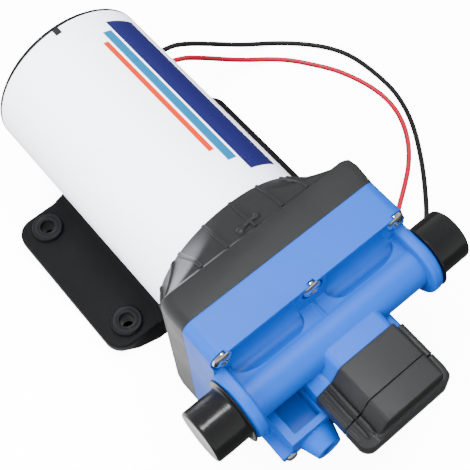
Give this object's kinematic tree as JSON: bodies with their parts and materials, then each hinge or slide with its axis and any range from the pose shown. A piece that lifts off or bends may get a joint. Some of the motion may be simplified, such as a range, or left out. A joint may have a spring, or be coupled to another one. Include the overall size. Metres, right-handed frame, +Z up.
{
  "type": "diaphragm pump",
  "caption": "Motor-driven diaphragm water pump with capped side ports, a pressure switch on its head, a bypass nozzle and a base plate on rubber feet.",
  "frame": {"origin": "centre of the four mounting holes, on the surface that the rubber feet stand on", "axes": "+Z up, +Y along the motor axis from the pump head towards the motor's rear end, +X along the ports"},
  "size_m": [0.2081, 0.2319, 0.0971],
  "materials": {
    "motor_paint": "gloss",
    "black_paint": "satin",
    "black_plastic": "satin",
    "base_plastic": "matt",
    "blue_plastic": "satin",
    "vinyl": "gloss",
    "rubber_black": "matt",
    "diaphragm_rubber": "matt",
    "screw_steel": "polished",
    "steel": "ground",
    "laminations": "dull",
    "bearing_steel": "polished",
    "cast_alloy": "cast",
    "copper": "bright",
    "brass": "bright",
    "bronze": "sintered",
    "ferrite": "matt",
    "carbon": "matt",
    "board": "matt",
    "white_plastic": "satin",
    "lead_red": "satin",
    "lead_black": "satin"
  },
  "bodies": {
    "housing": {"base_plate": "base_plastic", "base_screws": "steel", "foot_grommets": "rubber_black", "motor_can": "motor_paint", "rear_end_bell": "black_paint", "rear_bush": "bronze", "motor_magnets": "ferrite", "brush_plate": "board", "carbon_brushes": "carbon", "brush_springs": "steel", "front_motor_plate": "steel", "tie_bolts": "steel", "front_bearing_outer": "bearing_steel", "front_bearing_balls": "bearing_steel", "cam_housing": "black_plastic", "housing_screws": "steel", "diaphragm": "diaphragm_rubber", "valve_plate": "white_plastic", "intake_valves": "diaphragm_rubber", "outlet_valve": "diaphragm_rubber", "upper_housing": "blue_plastic", "head_screws": "screw_steel", "block_screw": "screw_steel", "bypass_spring": "steel", "switch_body": "black_plastic", "switch_cover": "black_plastic", "switch_screws": "steel", "switch_diaphragm": "diaphragm_rubber", "switch_spring": "steel", "microswitch": "black_plastic", "terminals": "brass", "switch_grommet": "rubber_black", "motor_grommet": "rubber_black", "lead_black": "lead_black", "lead_red": "lead_red"},
    "rotor": {"rotor_shaft": "steel", "armature_core": "laminations", "armature_winding": "copper", "commutator": "copper", "drive_cam": "cast_alloy", "cam_set_screw": "steel", "front_bearing_inner": "bearing_steel", "cam_bearing_inner": "bearing_steel"},
    "wobble": {"wobble_plate": "white_plastic", "cam_bearing_outer": "bearing_steel", "pistons": "white_plastic", "piston_screws": "steel"},
    "left_cap": {"port_cap_left": "vinyl"},
    "right_cap": {"port_cap_right": "vinyl"},
    "switch_plunger": {"switch_plunger": "white_plastic"},
    "switch_button": {"microswitch_button": "white_plastic"},
    "adjuster": {"adjusting_screw": "brass"},
    "bypass_poppet": {"bypass_poppet": "white_plastic"},
    "bypass_plug": {"bypass_plug": "brass"}
  },
  "joints": [
    {"name": "rotor_spin", "type": "hinge", "parent": "housing", "child": "rotor", "pos_m": [0, 0.01, 0.0504], "axis": [0, 1, 0], "continuous": true},
    {"name": "wobble_rock", "type": "hinge", "parent": "housing", "child": "wobble", "pos_m": [0, -0.07, 0.0504], "axis": [1, 0, 0], "range_deg": [-7, 0], "deforming": ["diaphragm"]},
    {"name": "left_cap_pull", "type": "slide", "parent": "housing", "child": "left_cap", "axis": [-1, 0, 0], "range_m": [0, 0.022]},
    {"name": "right_cap_pull", "type": "slide", "parent": "housing", "child": "right_cap", "axis": [1, 0, 0], "range_m": [0, 0.022]},
    {"name": "switch_plunger_slide", "type": "slide", "parent": "housing", "child": "switch_plunger", "axis": [0, -1, 0], "range_m": [0, 0.0012], "stiffness_N_per_m": 2000, "springref_m": -0.002, "deforming": ["switch_spring"]},
    {"name": "switch_button_slide", "type": "slide", "parent": "housing", "child": "switch_button", "axis": [0, -1, 0], "range_m": [0, 0.0012]},
    {"name": "adjuster_turn", "type": "hinge", "parent": "housing", "child": "adjuster", "pos_m": [0.0015, -0.15, 0.0504], "axis": [0, 1, 0], "range_deg": [-180, 180]},
    {"name": "bypass_lift", "type": "slide", "parent": "housing", "child": "bypass_poppet", "axis": [0, -1, 0], "range_m": [0, 0.003], "stiffness_N_per_m": 1500, "springref_m": -0.002, "deforming": ["bypass_spring"]},
    {"name": "bypass_plug_turn", "type": "hinge", "parent": "housing", "child": "bypass_plug", "pos_m": [-0.0264, -0.14, 0.0437], "axis": [0, 1, 0], "range_deg": [-180, 180]}
  ],
  "couplings": [
    {"joint": "switch_button_slide", "follows": "switch_plunger_slide", "ratio": 1}
  ]
}
